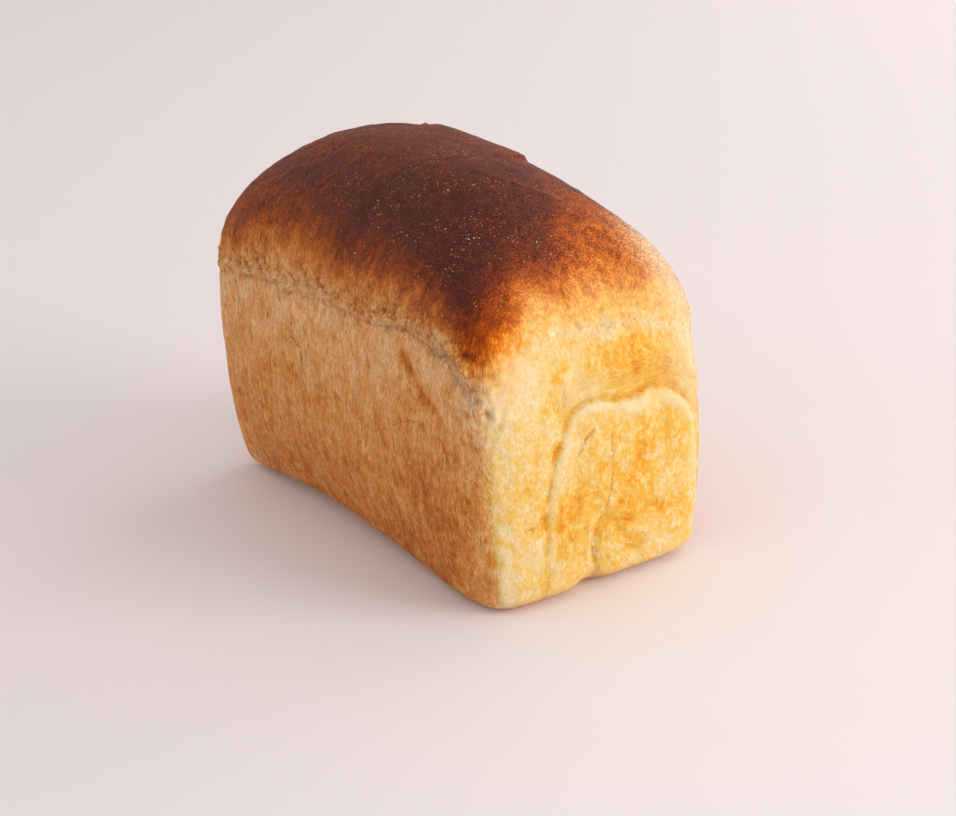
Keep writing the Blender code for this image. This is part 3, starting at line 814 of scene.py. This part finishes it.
    def marks(self):
        """What the crust's material reads on each point, by name."""
        return {
            "bake": self.bake,
            "gold": self.gold,
            "tint": self.tint,
            "painted_glow": self.painted_glow,
            "grime": self.grime,
            "pale": self.pale,
            "crown": self.top,
            "crack": self.crack,
            "crack_strength": self.crack_strength,
            "rim": self.rim,
            "torn": self.torn,
            "lip": self.lip,
            "sides": self.front + self.back,
            "inside": self.inside,
            "near": self.near,
            "grain": self.grain,
        }


def read_points(mesh):
    """The mesh's points as an array."""
    flat = np.empty(len(mesh.vertices) * 3, np.float32)
    mesh.vertices.foreach_get("co", flat)
    return flat.reshape(-1, 3).astype(float)


def write_points(mesh, points):
    """Puts an array of points into the mesh."""
    mesh.vertices.foreach_set("co", points.astype(np.float32).ravel())
    mesh.update()


def add_marks(mesh, name, values):
    """Stores a number, or a vector, on each of the mesh's points for the material to read."""
    kind, key = ("FLOAT", "value") if values.ndim == 1 else ("FLOAT_VECTOR", "vector")
    mesh.attributes.new(name, kind, "POINT").data.foreach_set(key, values.astype(np.float32).ravel())


def placed_piece(name, mesh, material):
    """A new object of that mesh and material, at the origin of the scene."""
    mesh.materials.append(material)
    piece = bpy.data.objects.new(name, mesh)
    bpy.context.scene.collection.objects.link(piece)
    return piece


def loaf_crust(material):
    """The loaf's whole outside as one fine mesh, with its browning stored on its points."""
    box = divided_box()
    mesh = bpy.data.meshes.new("loaf_crust")
    box.to_mesh(mesh)
    box.free()
    smooth = shape_walls(round_over(read_points(mesh)))
    write_points(mesh, smooth)
    surface = Surface(smooth, np.array([n.vector for n in mesh.vertex_normals]))
    write_points(mesh, surface.finish())
    for name, values in surface.marks().items():
        add_marks(mesh, name, values)
    mesh.shade_smooth()
    return placed_piece("loaf_crust", mesh, material)


def flour_grains(crust, material):
    """Small uneven grains of flour, each half sunk in the crust where it lies."""
    corners = [v.co for v in crust.data.vertices]
    tree = BVHTree.FromPolygons(corners, [p.vertices for p in crust.data.polygons])
    luck = np.random.default_rng(5)
    grains = bmesh.new()
    for x, y, size in FLOUR_GRAINS:
        spot, normal, _, _ = tree.ray_cast(Vector((x, y, 1.0)), Vector((0.0, 0.0, -1.0)))
        made = bmesh.ops.create_icosphere(grains, subdivisions=1, radius=size / 2)["verts"]
        for vert in made:
            vert.co *= 1 + 0.35 * luck.uniform(-1, 1)
        squeeze = Matrix.Diagonal((luck.uniform(0.7, 1.3), luck.uniform(0.7, 1.3), 0.6, 1.0))
        upright = normal.to_track_quat("Z", "Y").to_matrix().to_4x4()
        turn = upright @ Matrix.Rotation(luck.uniform(0, 6.28), 4, "Z")
        bmesh.ops.transform(grains, matrix=Matrix.Translation(spot) @ turn @ squeeze, verts=made)
    bmesh.ops.recalc_face_normals(grains, faces=grains.faces)
    mesh = bpy.data.meshes.new("flour_grains")
    grains.to_mesh(mesh)
    grains.free()
    return placed_piece("flour_grains", mesh, material)


class Nodes:
    """A short way to build a material's nodes: each call adds one node and returns its output."""

    def __init__(self, name):
        self.material = bpy.data.materials.new(name)
        self.material.use_nodes = True
        self.tree = self.material.node_tree
        self.shader = self.tree.nodes["Principled BSDF"]

    def add(self, kind, inputs=None, output=0, **settings):
        node = self.tree.nodes.new("ShaderNode" + kind)
        for key, value in settings.items():
            setattr(node, key, value)
        for key, value in (inputs or {}).items():
            self.plug(node.inputs[key], value)
        return node.outputs[output]

    def plug(self, socket, value):
        if isinstance(value, bpy.types.NodeSocket):
            self.tree.links.new(value, socket)
        else:
            socket.default_value = value

    def maths(self, operation, a, b=0.0, clamp=False):
        return self.add("Math", {0: a, 1: b}, operation=operation, use_clamp=clamp)

    def times(self, *values):
        product = values[0]
        for value in values[1:]:
            product = self.maths("MULTIPLY", product, value)
        return product

    def total(self, *values):
        total = values[0]
        for value in values[1:]:
            total = self.maths("ADD", total, value)
        return total

    def weigh(self, *pairs):
        """The sum of the values, each times its weight."""
        return self.total(*[self.times(value, weight) for value, weight in pairs])

    def mark(self, name, output="Fac"):
        return self.add("Attribute", output=output, attribute_name=name)

    def noise(self, vector, scale, detail, roughness=0.5):
        inputs = {"Vector": vector, "Scale": scale, "Detail": detail, "Roughness": roughness}
        return self.add("TexNoise", inputs, output="Fac")

    def even_noise(self, vector, scale, detail, roughness):
        """Noise spread from -0.5 to 0.5."""
        return self.span(self.noise(vector, scale, detail, roughness), 0.30, 0.70, -0.5, 0.5)

    def span(self, value, low, high, to_low=0.0, to_high=1.0):
        inputs = {"Value": value, "From Min": low, "From Max": high, "To Min": to_low, "To Max": to_high}
        return self.add("MapRange", inputs)

    def ramp(self, value, stops):
        output = self.add("ValToRGB", {"Fac": value})
        ramp = output.node.color_ramp
        while len(ramp.elements) < len(stops):
            ramp.elements.new(0.5)
        for element, (place, colour) in zip(ramp.elements, stops):
            element.position = place
            element.color = (*colour, 1.0)
        return output

    def blend(self, share, a, b):
        node = self.tree.nodes.new("ShaderNodeMix")
        node.data_type = "RGBA"
        self.plug(node.inputs["Factor"], share)
        self.plug(node.inputs["A"], a)
        self.plug(node.inputs["B"], b)
        return node.outputs["Result"]

    def specks(self, vector, scale, chance, size):
        """Round specks: cells of that scale, of which that share holds a speck of that size in cells."""
        cells = self.add("TexVoronoi", {"Vector": vector, "Scale": scale, "Randomness": 1.0})
        luck = self.add("SeparateColor", {"Color": cells.node.outputs["Color"]})
        return self.times(self.span(cells, size, 0.5 * size), self.span(luck, 1 - chance, 1 - 0.6 * chance))


# The crust's colours from the palest dough to the darkest crown, by how far they are baked: on the long
# sides, on the ends, and the painted orange glow of the corner where its brown dips into shade.
SIDE_COLOURS = (
    (0.00, (0.80, 0.54, 0.31)),
    (0.15, (0.77, 0.43, 0.195)),
    (0.27, (0.72, 0.345, 0.118)),
    (0.36, (0.67, 0.290, 0.078)),
    (0.45, (0.61, 0.215, 0.043)),
    (0.54, (0.50, 0.143, 0.021)),
    (0.62, (0.385, 0.090, 0.011)),
    (0.70, (0.265, 0.051, 0.006)),
    (0.84, (0.140, 0.0235, 0.0060)),
    (0.97, (0.080, 0.0150, 0.0070)),
)
END_COLOURS = (
    (0.00, (0.68, 0.55, 0.34)),
    (0.15, (0.67, 0.49, 0.23)),
    (0.27, (0.66, 0.43, 0.125)),
    (0.36, (0.66, 0.36, 0.052)),
    (0.45, (0.66, 0.285, 0.026)),
    (0.54, (0.57, 0.180, 0.020)),
    (0.62, (0.42, 0.103, 0.014)),
    (0.70, (0.28, 0.056, 0.009)),
    (0.84, (0.140, 0.0235, 0.0060)),
    (0.97, (0.080, 0.0150, 0.0070)),
)
PAINTED_GLOW_COLOURS = (
    (0.15, (0.78, 0.38, 0.10)),
    (0.36, (0.70, 0.22, 0.012)),
    (0.45, (0.60, 0.135, 0.001)),
    (0.54, (0.47, 0.083, 0.000)),
    (0.62, (0.36, 0.056, 0.000)),
    (0.70, (0.26, 0.036, 0.000)),
    (0.84, (0.140, 0.0200, 0.0030)),
    (0.97, (0.080, 0.0150, 0.0070)),
)
# Pale dough and crumbs; the same pale also paints the sheen on the near end's back corner.
PALE_COLOUR = (0.68, 0.56, 0.37, 1.0)
# Dark cracks, and painted shadow lines under the tear's lip and round the flap, on the sides and on the ends.
CRACK_AND_SHADOW_COLOUR = (0.22, 0.075, 0.022, 1.0)
END_CRACK_AND_SHADOW_COLOUR = (0.46, 0.17, 0.025, 1.0)
# The painted shade under the tear's lip and beside the pale ridge.
PAINTED_SHADE_COLOUR = (0.38, 0.23, 0.15, 1.0)
PORE_COLOUR = (0.36, 0.18, 0.07, 1.0)
SPECK_COLOUR = (0.58, 0.22, 0.055, 1.0)
DUST_COLOUR = (0.55, 0.34, 0.18, 1.0)


def crust_material():
    """Baked crust: golden fibrous walls and a dark, finely blistered crown with a soft sheen and painted
    glints.
    """
    m = Nodes("baked_crust")
    place = m.add("TexCoord", output="Object")
    grain = m.mark("grain", "Vector")
    crown, gold, bake = m.mark("crown"), m.mark("gold"), m.mark("bake")
    wall = m.maths("SUBTRACT", 1.0, crown)

    fibre = m.even_noise(grain, 2200, 3.0, 0.7)
    strands = m.even_noise(grain, 820, 3.0, 0.6)
    drifts = m.span(m.noise(grain, 240, 3.0, 0.55), 0.32, 0.68, -0.5, 0.5)
    mottle = m.even_noise(place, 300, 4.0, 0.65)
    grit = m.even_noise(place, 1400, 3.0, 0.75)
    pit = m.span(m.noise(grain, 800, 2.0, 0.6), 0.60, 0.72)
    side_push = m.weigh((fibre, 0.03), (strands, 0.06), (drifts, 0.16), (mottle, 0.14))
    end_push = m.weigh((fibre, 0.24), (strands, 0.50), (drifts, 0.30), (mottle, 0.32))
    end_push = m.total(m.span(end_push, -0.5, 0.0, -0.30, 0.0), m.span(end_push, 0.0, 0.5, 0.0, 0.13))
    end_push = m.times(end_push, m.span(m.mark("lip"), 0.0, 1.0, 1.0, 0.35))
    end_share = m.times(gold, m.span(bake, 0.65, 0.45))
    side_push = m.times(side_push, m.span(bake, 0.42, 0.58, 1.0, 0.5))
    side_push = m.total(side_push, m.times(m.weigh((strands, 0.16), (mottle, 0.12)), m.mark("painted_glow")))
    wall_push = m.times(m.add("Mix", {"Factor": end_share, "A": side_push, "B": end_push}), wall)
    crown_push = m.times(m.weigh((mottle, 0.10), (grit, 0.06)), m.span(crown, 0.0, 1.0, 0.45, 1.0))
    baked = m.maths("ADD", bake, m.maths("ADD", wall_push, crown_push), clamp=True)
    sides = m.ramp(baked, SIDE_COLOURS)
    ends = m.ramp(baked, END_COLOURS)
    glow = m.ramp(baked, PAINTED_GLOW_COLOURS)
    colour = m.blend(m.mark("painted_glow"), m.blend(m.mark("tint"), sides, ends), glow)
    # Pale dough, and the painted sheen on the near end's back corner.
    colour = m.blend(m.times(m.mark("pale"), m.span(strands, -0.5, 0.5, 1.0, 0.6)), colour, PALE_COLOUR)

    patch = m.span(m.noise(place, 75, 2.0), 0.42, 0.60)
    dark = m.span(bake, 0.50, 0.75)
    small = m.times(m.specks(place, 820, 0.28, 0.40), dark, m.span(patch, 0.0, 1.0, 0.10, 0.70))
    browned = m.span(bake, 0.40, 0.6)
    large = m.times(m.specks(place, 330, 0.10, 0.22), browned, m.span(patch, 0.0, 1.0, 0.2, 0.75))
    speck = m.maths("MAXIMUM", small, large)
    colour = m.blend(speck, colour, SPECK_COLOUR)
    dust = m.times(m.specks(place, 700, 0.05, 0.20), dark, 0.4)
    colour = m.blend(dust, colour, DUST_COLOUR)

    wander = m.span(m.noise(place, 1000, 4.0, 0.7), 0.3, 0.7, -1.6, 1.6)
    broken = m.span(m.noise(place, 420, 3.0), 0.42, 0.56)
    off_crack = m.maths("ABSOLUTE", m.total(m.mark("crack"), wander))
    crack = m.times(m.span(off_crack, 1.3, 0.3), m.mark("crack_strength"), m.span(broken, 0.0, 1.0, 0.35))
    # Painted shadow: broken dark dashes under the tear's lip on the long sides, and a fainter line round the
    # flap's edge.
    off_rim = m.maths("ABSOLUTE", m.total(m.mark("rim"), m.times(wander, 0.8)))
    painted_rim_shadow = m.times(m.span(off_rim, 0.9, 0.2), m.mark("sides"), broken, 0.45)
    off_lip = m.maths("ABSOLUTE", m.total(m.mark("inside"), m.times(wander, 0.5)))
    painted_lip_shadow = m.times(m.span(off_lip, 0.8, 0.2), m.mark("near"), broken, 0.22)
    cracks_and_shadow_lines = m.maths("MAXIMUM", crack, m.maths("MAXIMUM", painted_rim_shadow, painted_lip_shadow))
    fewer = m.span(end_share, 0.0, 1.0, 0.6, 0.2)
    pore = m.times(m.specks(grain, 420, 0.16, 0.26), wall, m.span(bake, 0.60, 0.45), fewer)
    crumb = m.noise(place, 620, 3.0, 0.65)
    hole = m.times(m.span(crumb, 0.53, 0.64), m.mark("torn"))
    colour = m.blend(m.maths("MAXIMUM", pore, m.times(hole, 0.55)), colour, PORE_COLOUR)
    colour = m.blend(m.times(m.span(crumb, 0.46, 0.38), m.mark("torn"), 0.30), colour, PALE_COLOUR)
    # Painted shade: a dull grey-brown under the tear's lip and beside the pale ridge.
    colour = m.blend(m.times(m.mark("grime"), m.span(strands, -0.5, 0.5, 0.6, 1.1)), colour, PAINTED_SHADE_COLOUR)
    crack_and_shadow_colour = m.blend(end_share, CRACK_AND_SHADOW_COLOUR, END_CRACK_AND_SHADOW_COLOUR)
    colour = m.blend(m.times(cracks_and_shadow_lines, 0.8), colour, crack_and_shadow_colour)

    softer = m.span(m.times(end_share, m.mark("tint")), 0.0, 1.0, 1.0, 0.16)
    # Painted shade and highlights: the walls darkened in their fibres and pits, the crown flecked with dark
    # grit and painted glints.
    wall_tone_and_shade = m.weigh((fibre, -0.64), (strands, -0.32), (pit, -0.34))
    wall_tone_and_shade = m.times(wall_tone_and_shade, m.span(bake, 0.45, 0.65, 1.0, 1.7))
    painted_glint = m.span(m.noise(place, 2100, 2.0, 0.6), 0.56, 0.74)
    crown_tone_and_glints = m.weigh((grit, -2.1), (mottle, -0.60), (painted_glint, 2.4))
    crown_tone_and_glints = m.maths("MAXIMUM", crown_tone_and_glints, -0.50)
    tone = m.add("Mix", {"Factor": crown, "A": m.times(wall_tone_and_shade, softer), "B": crown_tone_and_glints})
    colour = m.add("VectorMath", {0: colour, "Scale": m.maths("ADD", tone, 1.0)}, operation="SCALE")

    wall_height = m.weigh((fibre, -0.5), (strands, -0.8), (mottle, 0.3), (pit, -0.6))
    crown_height = m.weigh((grit, 0.6), (mottle, 0.8), (painted_glint, 0.5))
    smoother = m.span(end_share, 0.0, 1.0, 1.0, 0.5)
    relief = m.add("Mix", {"Factor": crown, "A": m.times(wall_height, smoother), "B": crown_height})
    height = m.total(relief, m.weigh((speck, 0.4), (cracks_and_shadow_lines, -1.4), (pore, -0.8), (hole, -1.2)))
    bump = m.add("Bump", {"Strength": 0.6, "Distance": 0.0004, "Height": height})

    m.plug(m.shader.inputs["Base Color"], colour)
    m.plug(m.shader.inputs["Normal"], bump)
    m.plug(m.shader.inputs["Roughness"], m.span(bake, 0.35, 0.9, 0.80, 0.52))
    m.shader.inputs["Specular IOR Level"].default_value = 0.12
    m.shader.inputs["Sheen Weight"].default_value = 0.06
    m.shader.inputs["Sheen Roughness"].default_value = 0.45
    m.shader.inputs["Sheen Tint"].default_value = (1.0, 0.74, 0.62, 1.0)
    return m.material


def flour_material():
    """Dry white flour."""
    m = Nodes("flour")
    place = m.add("TexCoord", output="Object")
    shade = m.span(m.noise(place, 4000, 2.0), 0.35, 0.65)
    m.plug(m.shader.inputs["Base Color"], m.blend(shade, (0.62, 0.47, 0.36, 1.0), (0.85, 0.78, 0.68, 1.0)))
    m.shader.inputs["Roughness"].default_value = 0.95
    m.shader.inputs["Specular IOR Level"].default_value = 0.1
    return m.material


def pale_set():
    """A pale floor that curves up far behind the loaf, so that it shows no edge."""
    sweep = bmesh.new()
    turns = np.linspace(0, np.pi / 2, 17)
    bend = [(SHEET_BEND + SHEET_ROUND * np.sin(t), SHEET_ROUND - SHEET_ROUND * np.cos(t)) for t in turns]
    profile = [(SHEET_START, 0.0), *bend, (SHEET_BEND + SHEET_ROUND, SHEET_TOP)]
    strip = [sweep.verts.new((-SHEET_WIDTH / 2, away, up)) for away, up in profile]
    edges = [sweep.edges.new(pair) for pair in zip(strip, strip[1:])]
    made = bmesh.ops.extrude_edge_only(sweep, edges=edges)["geom"]
    moved = [v for v in made if isinstance(v, bmesh.types.BMVert)]
    bmesh.ops.translate(sweep, verts=moved, vec=(SHEET_WIDTH, 0.0, 0.0))
    turn = Matrix.Rotation(CAMERA_AZIMUTH, 4, "Z")
    bmesh.ops.transform(sweep, matrix=turn, verts=sweep.verts)
    bmesh.ops.recalc_face_normals(sweep, faces=sweep.faces)
    mesh = bpy.data.meshes.new("studio_floor")
    sweep.to_mesh(mesh)
    sweep.free()
    mesh.shade_smooth()
    m = Nodes("pale_paper")
    m.shader.inputs["Base Color"].default_value = SHEET_COLOUR
    m.shader.inputs["Roughness"].default_value = 0.9
    m.shader.inputs["Specular IOR Level"].default_value = 0.05
    return placed_piece("studio_floor", mesh, m.material)


def direction(compass, elevation):
    """A unit vector that points along that compass angle and that height, both in radians."""
    level = np.cos(elevation)
    return Vector((np.cos(compass) * level, np.sin(compass) * level, np.sin(elevation)))


def photo_camera():
    """The camera that took the photo, by its place and lens."""
    back = direction(CAMERA_AZIMUTH - np.pi / 2, CAMERA_ELEVATION)
    right = direction(CAMERA_AZIMUTH, 0.0)
    up = back.cross(right)
    rolled_right = right * np.cos(CAMERA_ROLL) + up * np.sin(CAMERA_ROLL)
    rolled_up = up * np.cos(CAMERA_ROLL) - right * np.sin(CAMERA_ROLL)
    lens = bpy.data.cameras.new("photo_camera")
    lens.lens = CAMERA_LENS
    lens.sensor_width = SENSOR_WIDTH
    camera = bpy.data.objects.new("photo_camera", lens)
    turn = Matrix((rolled_right, rolled_up, back)).transposed().to_4x4()
    camera.matrix_world = Matrix.Translation(CAMERA_TARGET + back * CAMERA_DISTANCE) @ turn
    bpy.context.scene.collection.objects.link(camera)
    bpy.context.scene.camera = camera


def soft_light(name, compass, elevation, watts, colour):
    """A large square light at that compass angle and height in degrees, aimed at the loaf."""
    away = direction(np.radians(compass), np.radians(elevation))
    lamp = bpy.data.lights.new(name, "AREA")
    lamp.size = LIGHT_SIZE
    lamp.energy = watts
    lamp.color = colour
    light = bpy.data.objects.new(name, lamp)
    turn = away.to_track_quat("Z", "Y").to_matrix().to_4x4()
    light.matrix_world = Matrix.Translation(LIGHT_TARGET + away * LIGHT_DISTANCE) @ turn
    bpy.context.scene.collection.objects.link(light)


def studio_light():
    """A low, soft key light from the right, a weak one behind it, and an even pale surround."""
    soft_light("key_light", 31.0, 11.0, 24.2, (1.0, 0.965, 0.92))
    soft_light("back_light", 102.0, 20.0, 5.5, (1.0, 0.97, 0.95))
    world = bpy.data.worlds.new("pale_surround")
    world.use_nodes = True
    surround = world.node_tree.nodes["Background"]
    surround.inputs["Color"].default_value = (1.0, 0.975, 0.965, 1.0)
    surround.inputs["Strength"].default_value = 0.78
    bpy.context.scene.world = world
    bpy.context.scene.view_settings.view_transform = "Standard"


photo_camera()
studio_light()
pale_set()

crust = loaf_crust(crust_material())
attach(crust, "root")
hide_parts("loaf")

flour = flour_grains(crust, flour_material())
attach(flour, "root")
